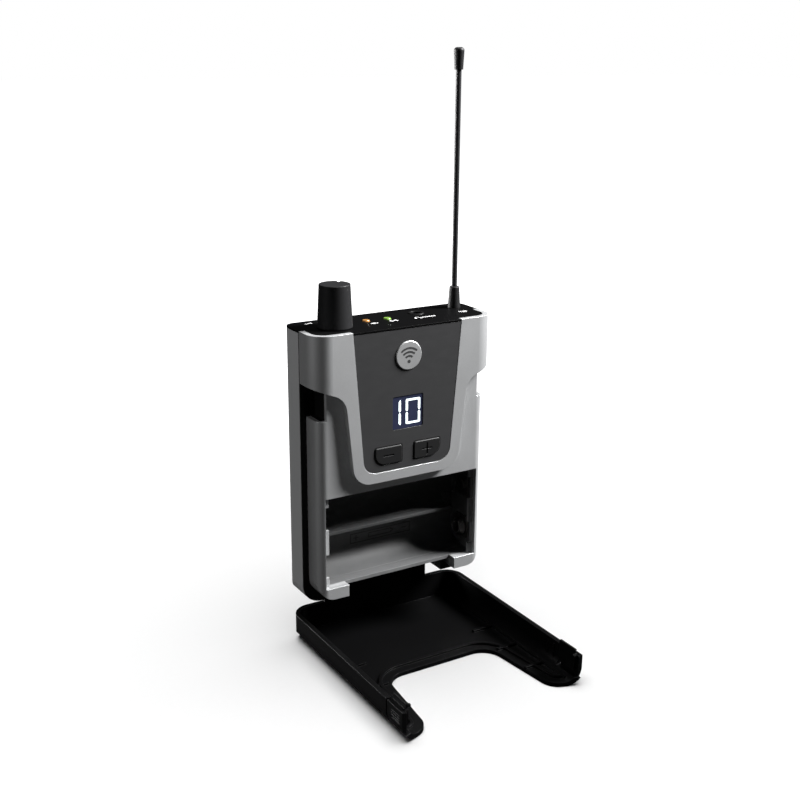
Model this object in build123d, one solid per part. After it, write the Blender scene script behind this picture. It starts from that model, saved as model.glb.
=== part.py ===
"""Wireless bodypack with its battery door open, standing on the door.

Row frame, mm: +X to the right of the display, +Y towards the back, +Z up.
z = 0 is the ground under the open door, y = 0 is the front face, x = 0 is the middle.
Door pieces are drawn where they sit when the door is shut, then turned open about the hinge pin.
"""

from build123d import *
import os

os.makedirs("parts", exist_ok=True)

# Overall sizes
body_width = 65.0
body_depth = 21.5
body_height = 91.0
front_depth = 10.4
body_corner = 6.5
front_corner = 6.0
rear_corner = 3.5
wall = 1.5

# Hinge of the battery door
hinge_depth = 19.0
hinge_to_bottom = 2.7
pin_radius = 1.0
pin_clearance = 0.05
knuckle_radius = 2.4
knuckle_gap = 0.4
channel_half = 20.2
flap_gap = 0.3
ear_thickness = 4.0

# Raised head of the front shell and the shield that hangs from it
head_side = 16.3
shoulder_half = 22.1
shoulder_drop = 20.2
foot_half = 19.0
shield_height = 49.4
shield_round = 6.5
inset = 2.3
inset_side = 2.0
inset_corner = 3.0
inset_bottom = 3.8
inset_round = 5.5
front_wall = 1.5
rim = 1.8
edge_round = 0.5

# Dark panel on the shield
panel_top_half = 19.5
panel_foot_half = 15.7
panel_height = 45.5
panel_round = 4.6
panel_thickness = 1.2
panel_sink = 0.08
panel_gap = 0.08

# Things in the panel, measured down from the top of the body
window_width = 11.0
window_height = 10.6
window_drop = 22.2
window_sink = 0.3
window_thickness = 0.9
button_width = 9.8
button_height = 5.8
button_middle = 7.1
button_drop = 37.9
button_round = 3.6
button_small_round = 0.7
button_proud = 0.25
button_gap = 0.22
button_travel = 0.5
button_mark_half = 1.9
button_mark_width = 0.5
button_mark_depth = 0.25
flange_step = 0.6
flange_thickness = 0.7
emblem_size = 9.4
emblem_drop = 4.5
emblem_proud = 0.3
emblem_thickness = 0.7

# Top plate and what stands on it
plate_lip = 0.6
plate_plug = 1.5
tongue_half = 19.5
knob_from_side = 12.0
knob_y = 9.8
knob_base_radius = 5.5
knob_top_radius = 4.85
knob_height = 13.2
knob_lift = 0.3
knob_wall = 1.6
knob_notch = 1.1
knob_edge = 0.2
knob_flat = 1.5
flat_lift = 3.0
shaft_radius = 3.0
shaft_clearance = 0.06
shaft_hole = 3.3
led_radius = 1.3
led_gap = 0.05
led_proud = 0.4
amber_x, amber_y = -8.1, 12.5
green_x, green_y = -0.8, 11.9
jack_x, jack_y = 11.4, 14.4
jack_bore = 1.8
jack_bore_depth = 12.5
jack_ring_radius = 2.7
jack_ring_proud = 0.25
jack_body_width = 7.6
jack_body_depth = 6.2
jack_body_height = 14.0
antenna_from_side = 5.4
antenna_y = 16.0
boot_base_radius = 2.1
boot_top_radius = 1.6
boot_height = 7.0
rod_radius = 0.88
antenna_height = 82.0
tip_radius = 1.7
tip_foot_radius = 1.35
tip_length = 6.7
rod_in_tip = 3.5
socket_radius = 2.6
socket_depth = 7.0

# Battery bay for two cells lying side by side across the body
bay_side = 2.2
bay_drop = 52.5
cell_radius = 7.65
cell_pitch = 15.4
cell_depth = 9.8
ridge_depth = 9.4
ridge_end = 22.8
cradle_floor = 1.2
cradle_wall = 1.3
channel_ceiling = 1.0
cradle_gap = 0.1
notch_depth = 5.6
tab_width = 1.3
tab_thickness = 0.9
tab_end = 3.4
tab_middle = 4.2
contact_slot = 0.5
contact_thickness = 0.3
spring_wire = 0.35
spring_radius = 2.9

# Gasket in the seam between the shells
gasket = 0.4
gasket_inset = 0.15
gasket_width = 3.4

# Battery door
door_gap = 0.4
door_face = 1.4
door_wall = 1.7
door_bottom = 1.6
door_round = 4.0
door_rib = 0.7
door_rib_width = 1.0
rib_from_cut = 3.4
latch_length = 9.6
latch_gap = 0.8
latch_thickness = 1.5
latch_root = 2.9
latch_root_gap = 0.08
latch_head_gap = 1.2
hook_inset = 0.55
hook_play = 0.25
hook_length = 7.4
hook_foot = 5.0
hook_height = 12.0
hook_catch = 0.8
pocket_depth = 2.9
keeper_wall = 0.9
keeper_gap = 0.05
guide_width = 0.7
guide_depth = 0.25
guide_pitch = 3.0
groove_height = 5.5
groove_width = 0.6
grip_pitch = 0.8
grip_width = 0.25
grip_depth = 0.2
grip_count = 3

# Boards inside
board = 1.2
board_margin = 4.0
keypad_half = 16.0
keypad_board_y = 8.2
main_half = 22.0
main_board_y = 17.6
main_board_drop = 3.5
top_board_drop = 10.6
top_board_end = 5.5
can_width = 17.0
can_height = 17.0
can_thickness = 3.2
pot_size = 10.0
pot_height = 6.0
switch_size = 6.0
switch_height = 3.0
plunger_radius = 1.75
plunger_clearance = 0.05
plunger_bore_depth = 1.4
screw_radius = 1.5
screw_length = 5.0
screw_head_radius = 2.3
screw_head_height = 1.0
screw_drop = 38.0
screw_from_side = 4.9
screw_boss = 0.9

# Places worked out from the sizes above
half = body_width / 2
bottom = hinge_depth - hinge_to_bottom
top = bottom + body_height
head_edge = top - head_side
shield_bottom = top - shield_height
inset_half = half - inset_side
bay_half = inset_half - bay_side
knob_x = knob_from_side - half
antenna_x = half - antenna_from_side
lip_bottom = bottom + inset_bottom
channel_top = hinge_depth + knuckle_radius + knuckle_gap
cradle_bottom = channel_top + channel_ceiling
bay_floor = cradle_bottom + cradle_floor
bay_top = top - bay_drop
upper_cell_z = bay_top - cell_radius
lower_cell_z = upper_cell_z - cell_pitch
ridge_z = (upper_cell_z + lower_cell_z) / 2
plate_z = top - plate_lip
inner_y = inset + front_wall
seam = front_depth + gasket
rear_inner = body_depth - wall
recess = panel_sink + panel_thickness
door_top = head_edge - door_gap
door_depth = front_depth - door_gap
latch_low = door_top - latch_length
latch_high = door_top - latch_head_gap
hook_inner = inset_half - hook_inset
hook_outer = half - latch_thickness - hook_play
pocket_inner = inset_half - pocket_depth
hinge_line = Axis((0, hinge_depth, hinge_depth), (1, 0, 0))
REACH = 200.0


def block(x0, x1, y0, y1, z0, z1):
    """A box between two corners."""
    size = Box(x1 - x0, y1 - y0, z1 - z0)
    return Pos((x0 + x1) / 2, (y0 + y1) / 2, (z0 + z1) / 2) * size


def both_sides(solid):
    """The solid and its mirror image across x = 0."""
    return solid + mirror(solid, Plane.YZ)


def post(radius, x, y, z0, z1, top_radius=None):
    """An upright round post, tapered if it has a top radius."""
    height = z1 - z0
    centre = Pos(x, y, (z0 + z1) / 2)
    if top_radius is None:
        return centre * Cylinder(radius, height)
    return centre * Cone(radius, top_radius, height)


def bar(radius, x0, x1, y, z):
    """A round bar along X."""
    return Pos((x0 + x1) / 2, y, z) * Rot(0, 90, 0) * Cylinder(radius, x1 - x0)


def pin_along_y(radius, x, z, y0, y1):
    """A round post along Y."""
    return Pos(x, (y0 + y1) / 2, z) * Rot(90, 0, 0) * Cylinder(radius, y1 - y0)


def outline(right_half, rounds):
    """A face symmetric about x = 0 from its right half, with given corners rounded."""
    left_half = [(-x, z) for x, z in reversed(right_half)]
    face = make_face(Polyline(*right_half, *left_half, close=True))
    for (x, z), radius in rounds:
        corners = [v for v in face.vertices() if abs(abs(v.X) - x) < 0.01 and abs(v.Y - z) < 0.01]
        face = fillet(corners, radius)
    return face


def deep(face, y0, y1):
    """A front-view face carried from depth y0 to depth y1."""
    return extrude(Plane.XZ.offset(-y0) * face, amount=y0 - y1)


def tall(face, z0, z1):
    """A plan-view face carried from height z0 to height z1."""
    return extrude(Pos(0, 0, z0) * face, amount=z1 - z0)


def plan(half_width, y0, y1, front_round, back_round=0.0):
    """A plan-view rectangle with rounded front and back corners."""
    rounds = [((half_width, y0), front_round)]
    if back_round:
        rounds.append(((half_width, y1), back_round))
    return outline([(half_width, y1), (half_width, y0)], rounds)


def upright(half_width, z0, z1, low_round):
    """A front-view rectangle with rounded lower corners."""
    return outline([(half_width, z1), (half_width, z0)], [((half_width, z0), low_round)])


def head_outline():
    """Front view of the raised head with its shield."""
    points = [(half, top), (half, head_edge), (shoulder_half, top - shoulder_drop), (foot_half, shield_bottom)]
    return outline(points, [(points[2], shield_round), (points[3], shield_round)])


def panel_outline(gap=0.0):
    """Front view of the dark panel, drawn in by a gap."""
    high, low = plate_z - gap, plate_z - panel_height + gap
    points = [(panel_top_half - gap, high), (panel_foot_half - gap, low)]
    return outline(points, [(points[1], panel_round)])


def plate_outline(gap=0.0):
    """Plan view of the top plate: full width behind the seam, inside the rim in front, open in the middle."""
    back = plan(half, front_depth, body_depth, 0.01, rear_corner)
    front = plan(half - rim - gap, rim + gap, body_depth - rear_corner, front_corner - rim)
    tongue = Rectangle(2 * (tongue_half - gap), front_depth + 2 * edge_round)
    return back + front + Pos(0, (front_depth + 2 * edge_round) / 2) * tongue


def inset_solid():
    """The lower part of the front shell, which the door covers."""
    face = upright(inset_half, lip_bottom, plate_z, inset_round)
    corner = tall(plan(inset_half, inset, front_depth, inset_corner), lip_bottom, top)
    return deep(face, inset, front_depth) & corner


def button_outline(side, gap=0.0):
    """Front view of one button; side is -1 for the left one and +1 for the right one."""
    high, low = top - button_drop + gap, top - button_drop - button_height - gap
    near, far = button_middle - button_width / 2 - gap, button_middle + button_width / 2 + gap
    face = make_face(Polyline((near, high), (far, high), (far, low), (near, low), close=True))
    outer = [v for v in face.vertices() if v.X > button_middle and v.Y < (high + low) / 2]
    face = fillet(outer, button_round + gap)
    rest = [v for v in face.vertices() if v.X < button_middle or (v.X > far - 0.01 and v.Y > high - 0.01)]
    face = fillet(rest, button_small_round)
    return face if side > 0 else mirror(face, Plane.YZ)


def window_outline(gap=0.0):
    """Front view of the display window."""
    middle = top - window_drop - window_height / 2
    return Pos(0, middle) * RectangleRounded(window_width + 2 * gap, window_height + 2 * gap, 0.6)


def emblem_outline(gap=0.0):
    """Front view of the round badge."""
    return Pos(0, top - emblem_drop - emblem_size / 2) * Circle(emblem_size / 2 + gap)


def channel_cut():
    """Room for the hinge flap under the body, open below, in front and behind."""
    return block(-channel_half, channel_half, -1, body_depth + 1, 0, channel_top)


def latch_pocket():
    """Notches in the front corners of the covered part, which take the door's hooks."""
    low = latch_low - latch_gap
    return both_sides(block(pocket_inner, inset_half + 1, inset - 1, seam + 0.01, low, head_edge - 0.01))


def latch_keepers():
    """Black cups that line the two notches and close them towards the inside."""
    low, high = latch_low - latch_gap, head_edge - wall
    back = seam - gasket - keeper_gap
    inside = pocket_inner - keeper_wall
    cup = block(inside, inset_half - wall - keeper_gap, inner_y + keeper_gap, back, low - keeper_wall, high)
    cup -= block(pocket_inner, half, 0, back + 1, low, high + 1)
    return Compound([cup, mirror(cup, Plane.YZ)])


def front_shell():
    head = deep(head_outline(), 0, front_depth) & tall(plan(half, 0, REACH, front_corner), bottom, top)
    shield_back = block(-half, half, inner_y, front_depth, bottom, head_edge - wall)
    head -= shield_back
    shell = head + inset_solid()
    hollow_half = inset_half - wall
    hollow = block(-hollow_half, hollow_half, inner_y, front_depth + 1, cradle_bottom, plate_z)
    head_room = tall(plan(half - wall, inner_y, REACH, front_corner - wall), head_edge + wall, top)
    shell -= hollow
    shell -= head_room & block(-half, half, 0, front_depth, head_edge, top - plate_lip)
    shell -= tall(plate_outline(), plate_z, top + 1)
    shell -= deep(panel_outline(), -1, recess)
    shell -= deep(window_outline(panel_gap), 0, inner_y + 1)
    for side in (-1, 1):
        shell -= deep(button_outline(side, button_gap), 0, inner_y + 1)
    shell -= deep(emblem_outline(), 0, emblem_thickness)
    shell -= block(-bay_half, bay_half, 0, inner_y + 0.01, bay_floor, bay_top)
    shell -= block(-channel_half, channel_half, 0, front_depth + 1, 0, cradle_bottom)
    shell -= block(-channel_half, channel_half, 0, notch_depth, 0, bay_floor)
    return shell - (latch_pocket() - head)


def rear_shell():
    shell = deep(upright(half, bottom, plate_z, body_corner), seam, body_depth)
    shell &= tall(plan(half, 0, body_depth, 0.01, rear_corner), bottom, top)
    room = deep(upright(half - wall, bottom + wall, top, body_corner - wall), seam - 1, rear_inner)
    floor = block(-channel_half - ear_thickness, channel_half + ear_thickness, seam, body_depth, bottom, cradle_bottom)
    shell -= room - floor
    shell -= channel_cut()
    bore = bar(pin_radius, -channel_half - ear_thickness, channel_half + ear_thickness, hinge_depth, hinge_depth)
    shell -= bore
    for x, z in screw_places():
        shell += pin_along_y(screw_head_radius + screw_boss, x, z, seam, rear_inner + 0.1)
        shell -= pin_along_y(screw_radius, x, z, seam - 1, body_depth + 1)
        shell -= pin_along_y(screw_head_radius, x, z, body_depth - screw_head_height, body_depth + 1)
    return shell


def screw_places():
    """The two screws that close the housing from behind, near the top."""
    return [(side * (half - wall - screw_from_side), top - screw_drop) for side in (-1, 1)]


def housing_screws():
    solids = []
    for x, z in screw_places():
        head_start = body_depth - screw_head_height
        head = pin_along_y(screw_head_radius - 0.1, x, z, head_start, body_depth - 0.2)
        shank = pin_along_y(screw_radius - 0.05, x, z, head_start - screw_length, head_start)
        slot_depth = 0.6
        cross = block(x - 1.3, x + 1.3, body_depth - slot_depth, body_depth, z - 0.25, z + 0.25)
        cross += block(x - 0.25, x + 0.25, body_depth - slot_depth, body_depth, z - 1.3, z + 1.3)
        solids.append(head + shank - cross)
    return Compound(solids)


def seam_gasket():
    outer = upright(half - gasket_inset, bottom + gasket_inset, plate_z, body_corner - gasket_inset)
    inner = upright(half - gasket_width, cradle_bottom, top, 0.5)
    ring = deep(outer, front_depth, seam) - deep(inner, front_depth - 1, seam + 1)
    ring -= channel_cut()
    low = latch_low - latch_gap
    pocket = block(half - gasket_width - 0.1, hook_outer + 0.2, front_depth - 1, seam + 1, low, head_edge)
    return ring - both_sides(pocket)


def top_plate():
    plate = tall(plate_outline(panel_gap), plate_z, top)
    plug = tall(plan(half - wall - 0.15, inner_y, rear_inner - 0.1, 3.0, 2.0), plate_z - plate_plug, plate_z)
    plug -= block(-half, half, front_depth - 0.1, seam + 0.1, 0, plate_z)
    plug &= block(-half, half, seam + 0.1, body_depth, 0, top)
    plate += plug
    below, above = plate_z - plate_plug - 1, top + 1
    plate -= post(shaft_hole, knob_x, knob_y, below, above)
    plate -= post(led_radius + led_gap, amber_x, amber_y, below, above)
    plate -= post(led_radius + led_gap, green_x, green_y, below, above)
    plate -= post(jack_ring_radius, jack_x, jack_y, below, above)
    return plate - post(boot_top_radius, antenna_x, antenna_y, below, above)


def battery_cradle():
    back = cell_depth + cell_radius + cradle_wall
    outer = inset_half - wall - cradle_gap
    body = block(-outer, outer, inner_y, back, cradle_bottom, bay_top + cradle_wall)
    body -= block(-channel_half, channel_half, 0, notch_depth, 0, bay_floor + 1)
    body -= block(-bay_half, bay_half, 0, cell_depth, bay_floor, bay_top)
    for z in (upper_cell_z, lower_cell_z):
        body -= bar(cell_radius, -bay_half, bay_half, cell_depth, z)
    body += block(-bay_half, ridge_end, ridge_depth, back - 1, ridge_z - 0.45, ridge_z + 0.45)
    body -= block(ridge_end, bay_half, ridge_depth, back - cradle_wall, ridge_z - 3, ridge_z + 3)
    for x in (-bay_half, bay_half):
        inward = 1 if x < 0 else -1
        for low, high in tab_spans():
            start = x + inward * contact_slot
            body += block(*sorted((x, start + inward * tab_width)), inner_y, inner_y + tab_thickness, low, high)
    floor_stop = block(-bay_half, bay_half, inner_y, seam, bottom, cradle_bottom)
    return body - floor_stop


def tab_spans():
    """Heights of the small tabs that hold the contacts at each end of the bay."""
    middle = (ridge_z - tab_middle, ridge_z + tab_middle)
    return [(bay_floor, bay_floor + tab_end), middle, (bay_top - tab_end, bay_top)]


def contact_plates():
    """Flat contacts at one end of each cell, crossed over from one cell to the other."""
    solids = []
    width, height = 1.6 * cell_radius * 0.6, 1.7 * cell_radius * 0.6
    for x, z in ((bay_half - contact_slot, upper_cell_z), (-bay_half + contact_slot, lower_cell_z)):
        plate = block(x - contact_thickness / 2, x + contact_thickness / 2, cell_depth - width / 2,
                      cell_depth + width / 2, z - height / 2, z + height / 2)
        inward = -1 if x > 0 else 1
        button = bar(2.2, *sorted((x, x + inward * 0.8)), cell_depth, z)
        solids.append(plate + button)
    return Compound(solids)


def contact_springs():
    """Coil contacts at the other end of each cell, tapering towards the cell."""
    solids = []
    for x, z in ((-bay_half + contact_slot, upper_cell_z), (bay_half - contact_slot, lower_cell_z)):
        inward = 1 if x < 0 else -1
        spring = None
        turns = 4
        for turn in range(turns):
            radius = spring_radius - turn * 0.25
            ring_x = x + inward * (spring_wire + turn * 0.62)
            ring = Pos(ring_x, cell_depth, z) * Rot(0, 90, 0) * Torus(radius, spring_wire)
            spring = ring if spring is None else spring + ring
        foot = block(*sorted((x - 0.15, x + 0.15)), cell_depth - 4.2, cell_depth + 4.2, z - 4.2, z + 4.2)
        solids.append(spring + foot)
    return Compound(solids)


def display_panel():
    panel = deep(panel_outline(panel_gap), panel_sink, recess)
    panel -= deep(window_outline(panel_gap), -1, recess + 1)
    for side in (-1, 1):
        panel -= deep(button_outline(side, button_gap), -1, recess + 1)
    return panel - deep(emblem_outline(), -1, emblem_thickness)


def display_window():
    return deep(window_outline(), window_sink, window_sink + window_thickness)


def lcd_module():
    start = window_sink + window_thickness
    return deep(window_outline(-0.1), start, keypad_board_y)


def emblem():
    badge = deep(emblem_outline(-panel_gap), -emblem_proud, emblem_thickness)
    return chamfer(badge.edges().group_by(Axis.Y)[0], 0.2)


def button(side):
    cap = deep(button_outline(side), -button_proud, inner_y)
    cap = chamfer(cap.edges().group_by(Axis.Y)[0], 0.25)
    x = side * button_middle
    z = top - button_drop - button_height / 2
    deepest = button_mark_depth - button_proud
    long, short = button_mark_half, button_mark_width / 2
    cap -= block(x - long, x + long, -1, deepest, z - short, z + short)
    if side > 0:
        cap -= block(x - short, x + short, -1, deepest, z - long, z + long)
    flange_back = inner_y + flange_thickness
    cap += deep(button_outline(side, flange_step), inner_y, flange_back)
    stem_end = keypad_board_y - switch_height + plunger_bore_depth - button_travel - 0.3
    return cap + pin_along_y(plunger_radius, x, z, flange_back, stem_end)


def tact_switch(side):
    x = side * button_middle
    z = top - button_drop - button_height / 2
    face = keypad_board_y - switch_height
    reach = switch_size / 2
    body = block(x - reach, x + reach, face, keypad_board_y, z - reach, z + reach)
    return body - pin_along_y(plunger_radius + plunger_clearance, x, z, face - 1, face + plunger_bore_depth)


def keypad_board():
    low = top - button_drop - button_height - board_margin
    back = keypad_board_y + board
    return block(-keypad_half, keypad_half, keypad_board_y, back, low, top - window_drop + board_margin)


def top_board():
    z = top - top_board_drop
    start = knob_x - pot_size / 2 - board_margin / 2
    return block(start, top_board_end, inner_y + 0.6, main_board_y - 0.5, z, z + board)


def main_board():
    low = bay_top + cradle_wall + 1
    return block(-main_half, main_half, main_board_y, main_board_y + board, low, top - main_board_drop)


def shield_can():
    low = bay_top + cradle_wall + board_margin
    front = main_board_y - can_thickness
    return block(-can_width / 2, can_width / 2, front, main_board_y, low, low + can_height)


def volume_pot():
    z = top - top_board_drop + board
    reach = pot_size / 2
    body = block(knob_x - reach, knob_x + reach, knob_y - reach, knob_y + reach, z, z + pot_height)
    body += post(shaft_hole + 0.9, knob_x, knob_y, z + pot_height, plate_z - plate_plug - 0.05)
    return body - post(shaft_radius + shaft_clearance, knob_x, knob_y, z + 1, top)


def pot_shaft():
    low = top - top_board_drop + board + 1.5
    shaft = post(shaft_radius, knob_x, knob_y, low, top + knob_lift + knob_height - knob_wall)
    flat_start = top + knob_lift + flat_lift
    flat = block(knob_x + knob_flat, knob_x + 9, knob_y - 9, knob_y + 9, flat_start, top + REACH)
    return shaft - flat


def volume_knob():
    low = top + knob_lift
    high = low + knob_height
    knob = post(knob_base_radius, knob_x, knob_y, low, high, knob_top_radius)
    knob = fillet(knob.edges().group_by(Axis.Z)[-1], knob_edge)
    notch = block(-knob_notch / 2, knob_notch / 2, knob_top_radius - 1.6, knob_base_radius, high - 0.8, high + 1)
    knob -= Pos(knob_x, knob_y) * Rot(0, 0, -44) * notch
    bore = post(shaft_radius, knob_x, knob_y, low - 1, high - knob_wall)
    flat_start = low + flat_lift
    flat = block(knob_x + knob_flat, knob_x + 4, knob_y - 4, knob_y + 4, flat_start, high)
    return knob - (bore - flat)


def led(x, y):
    low = top - top_board_drop + board
    body = post(led_radius, x, y, low, top + led_proud - led_radius * 0.6)
    dome = Pos(x, y, top + led_proud - led_radius * 0.6) * Sphere(led_radius)
    cap = block(x - 2, x + 2, y - 2, y + 2, top - 0.5, top + led_proud - 0.02)
    return body + (dome & cap)


def phones_jack():
    ceiling = plate_z - plate_plug - 0.1
    body = block(jack_x - jack_body_width / 2, jack_x + jack_body_width / 2, main_board_y - jack_body_depth,
                 main_board_y, ceiling - jack_body_height, ceiling)
    return body - post(jack_bore, jack_x, jack_y, ceiling - jack_bore_depth, top)


def jack_ring():
    low = plate_z - plate_plug - 0.1
    ring = post(jack_ring_radius - 0.05, jack_x, jack_y, low, top + jack_ring_proud)
    ring -= post(jack_bore, jack_x, jack_y, low - 1, top + 1)
    return chamfer(ring.edges().group_by(Axis.Z)[-1], 0.15)


def antenna_socket():
    high = plate_z - plate_plug - 0.05
    socket = post(socket_radius, antenna_x, antenna_y - 1.1, high - socket_depth, high)
    socket &= block(0, half, 0, main_board_y, 0, top)
    return socket - post(rod_radius, antenna_x, antenna_y, high - socket_depth + 1, high + 1)


def antenna_boot():
    boot = post(boot_base_radius, antenna_x, antenna_y, top, top + boot_height, boot_top_radius)
    boot = fillet(boot.edges().group_by(Axis.Z)[-1], 0.35)
    boot += post(boot_top_radius - 0.05, antenna_x, antenna_y, plate_z - plate_plug, top)
    return boot - post(rod_radius, antenna_x, antenna_y, 0, top + REACH)


def antenna_rod():
    low = plate_z - plate_plug - 0.05 - socket_depth + 1
    return post(rod_radius, antenna_x, antenna_y, low, top + antenna_height - tip_length + rod_in_tip)


def antenna_tip():
    high = top + antenna_height
    tip = post(tip_foot_radius, antenna_x, antenna_y, high - tip_length, high, tip_radius)
    tip = fillet(tip.edges().group_by(Axis.Z)[-1], tip_radius * 0.6)
    return tip - post(rod_radius, antenna_x, antenna_y, 0, high - tip_length + rod_in_tip)


def hinge_pin():
    end = channel_half + ear_thickness - 0.5
    return bar(pin_radius, -end, end, hinge_depth, hinge_depth)


def door_outer():
    """Outside of the shut door before it is hollowed."""
    face = upright(half, bottom, door_top + 1, body_corner)
    face -= offset(head_outline(), amount=door_gap, kind=Kind.INTERSECTION)
    body = deep(face, 0, door_depth)
    body &= tall(plan(half, 0, REACH, front_corner), bottom, top)
    profile = Plane.YZ * Pos(REACH / 2, bottom + REACH / 2) * Rectangle(REACH, REACH)
    side = extrude(profile, amount=REACH, both=True)
    edge = side.edges().filter_by(Axis.X).group_by(Axis.Z)[0].group_by(Axis.Y)[0]
    return body & fillet(edge, door_round)


def door_hollow():
    """Room inside the shut door, open towards the body."""
    face = upright(half - door_wall, bottom + door_bottom, top, body_corner - door_wall)
    room = deep(face, door_face, REACH)
    return room & tall(plan(half - door_wall, door_face, REACH, front_corner - door_wall), bottom, top)


def door_ribs():
    """Low stiffening ribs inside the face of the shut door."""
    near = offset(head_outline(), amount=rib_from_cut, kind=Kind.INTERSECTION)
    far = offset(head_outline(), amount=rib_from_cut + door_rib_width, kind=Kind.INTERSECTION)
    rib_top = door_face + door_rib
    ribs = deep(far - near, door_face - 0.1, rib_top)
    x = (shoulder_half + half) / 2 + 0.6
    for start in (bay_top - 8, bay_top + 6, bay_top + 20):
        ribs += both_sides(block(shoulder_half - 1.5, half - 2, door_face - 0.1, rib_top, start, start + door_rib_width))
    ribs += both_sides(block(x, x + door_rib_width, door_face - 0.1, rib_top, bay_floor + 4, door_top - 4))
    inside = half - door_wall
    for step in (1, 2):
        low = latch_low - latch_gap - step * guide_pitch
        rail = block(inside - guide_depth, inside + 0.1, door_face, door_depth - 1.2, low, low + guide_width)
        ribs += both_sides(rail)
    return ribs & door_outer()


def latch_cut():
    """Windows in the door's side walls that hold the latches."""
    low = latch_low - latch_gap
    return both_sides(block(hook_inner - 0.5, half + 1, latch_root - latch_root_gap, REACH, low, top))


def flap():
    """The hinge flap with its knuckle."""
    reach = channel_half - flap_gap
    arm = block(-reach, reach, door_depth - 0.5, hinge_depth, bottom, bottom + door_bottom)
    knuckle = bar(knuckle_radius, -reach, reach, hinge_depth, hinge_depth)
    bore = bar(pin_radius + pin_clearance, -reach - 1, reach + 1, hinge_depth, hinge_depth)
    return arm + knuckle - bore


def battery_door():
    shut = door_outer() - door_hollow() + door_ribs()
    shut -= latch_cut()
    shut += flap()
    return shut.rotate(hinge_line, 90)


def latch(side):
    inner = half - latch_thickness
    box = block(inner, half + 1, latch_root, door_depth, latch_low, latch_high)
    tongue = box & door_outer()
    hook_low = latch_low + 0.1
    tongue += block(hook_inner, inner + 0.2, hook_foot, door_depth, hook_low, hook_low + hook_length)
    tongue += block(hook_inner, hook_outer, hook_foot, hook_height, hook_low, hook_low + hook_length)
    catch = hook_low + hook_length
    catch_y = door_depth - hook_catch / 4
    tongue -= block(hook_inner - 1, hook_outer + 1, catch_y, catch_y + hook_catch, catch - hook_catch, catch + 1)
    groove_end = latch_high - 1.8
    groove_top = groove_height + groove_width
    tongue -= block(half - 2 * grip_depth, half + 1, groove_height, groove_top, latch_low + 2, groove_end)
    for step in range(grip_count):
        y = groove_top + (step + 0.5) * grip_pitch
        tongue -= block(half - grip_depth, half + 1, y, y + grip_width, latch_low + 2, groove_end)
    one = tongue if side > 0 else mirror(tongue, Plane.YZ)
    return one.rotate(hinge_line, 90)


PARTS = {
    "front_shell": front_shell(),
    "latch_keepers": latch_keepers(),
    "rear_shell": rear_shell(),
    "seam_gasket": seam_gasket(),
    "top_plate": top_plate(),
    "housing_screws": housing_screws(),
    "battery_cradle": battery_cradle(),
    "contact_plates": contact_plates(),
    "contact_springs": contact_springs(),
    "display_panel": display_panel(),
    "display_window": display_window(),
    "lcd_module": lcd_module(),
    "emblem": emblem(),
    "minus_button": button(-1),
    "plus_button": button(1),
    "minus_switch": tact_switch(-1),
    "plus_switch": tact_switch(1),
    "keypad_board": keypad_board(),
    "top_board": top_board(),
    "main_board": main_board(),
    "shield_can": shield_can(),
    "volume_pot": volume_pot(),
    "pot_shaft": pot_shaft(),
    "volume_knob": volume_knob(),
    "amber_led": led(amber_x, amber_y),
    "green_led": led(green_x, green_y),
    "phones_jack": phones_jack(),
    "jack_ring": jack_ring(),
    "antenna_socket": antenna_socket(),
    "antenna_boot": antenna_boot(),
    "antenna_rod": antenna_rod(),
    "antenna_tip": antenna_tip(),
    "hinge_pin": hinge_pin(),
    "battery_door": battery_door(),
    "latch_left": latch(-1),
    "latch_right": latch(1),
}

for name, solid in PARTS.items():
    export_step(solid, f"parts/{name}.step")
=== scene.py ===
"""Wireless bodypack standing on its open battery door: finishes, marks, display, lamps, light and camera."""

import math

import bmesh
import bpy
from mathutils import Matrix, Vector


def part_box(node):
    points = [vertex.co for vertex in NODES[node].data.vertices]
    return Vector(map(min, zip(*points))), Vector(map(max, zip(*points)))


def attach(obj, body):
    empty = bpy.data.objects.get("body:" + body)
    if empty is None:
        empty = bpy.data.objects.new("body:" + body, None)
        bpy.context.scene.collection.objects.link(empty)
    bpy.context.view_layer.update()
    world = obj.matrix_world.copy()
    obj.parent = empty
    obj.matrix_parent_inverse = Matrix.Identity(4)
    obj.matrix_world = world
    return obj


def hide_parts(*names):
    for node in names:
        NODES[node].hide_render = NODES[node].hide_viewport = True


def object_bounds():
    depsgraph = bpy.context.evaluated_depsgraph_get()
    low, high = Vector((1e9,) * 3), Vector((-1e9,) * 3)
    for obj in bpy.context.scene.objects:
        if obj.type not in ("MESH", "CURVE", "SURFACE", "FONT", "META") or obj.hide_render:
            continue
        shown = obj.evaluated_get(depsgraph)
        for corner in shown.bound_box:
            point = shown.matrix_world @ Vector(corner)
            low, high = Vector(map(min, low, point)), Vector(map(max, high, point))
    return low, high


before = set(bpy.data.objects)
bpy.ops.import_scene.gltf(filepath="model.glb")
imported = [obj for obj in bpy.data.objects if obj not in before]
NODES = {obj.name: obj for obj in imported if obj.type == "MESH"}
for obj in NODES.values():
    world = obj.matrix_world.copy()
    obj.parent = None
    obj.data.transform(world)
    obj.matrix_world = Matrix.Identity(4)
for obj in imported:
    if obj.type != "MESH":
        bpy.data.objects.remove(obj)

bl_info = {
    "name": "Wireless bodypack looks",
    "version": (1, 0, 0),
    "blender": (4, 5, 0),
    "location": "3D View > Sidebar > Bodypack",
    "description": "Finishes, display, marks, lamps and stage for a wireless bodypack",
    "category": "Object",
}

MM = 0.001
START_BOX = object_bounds()
HOUSING = "housing"

NOISE_ROUGHNESS = 0.55
EDGE_SHARPNESS = 9.0
MIX_FIRST, MIX_SECOND, MIX_RESULT = 6, 7, 2   # colour sockets of the Mix node


# ---------------------------------------------------------------- shader maths

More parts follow.
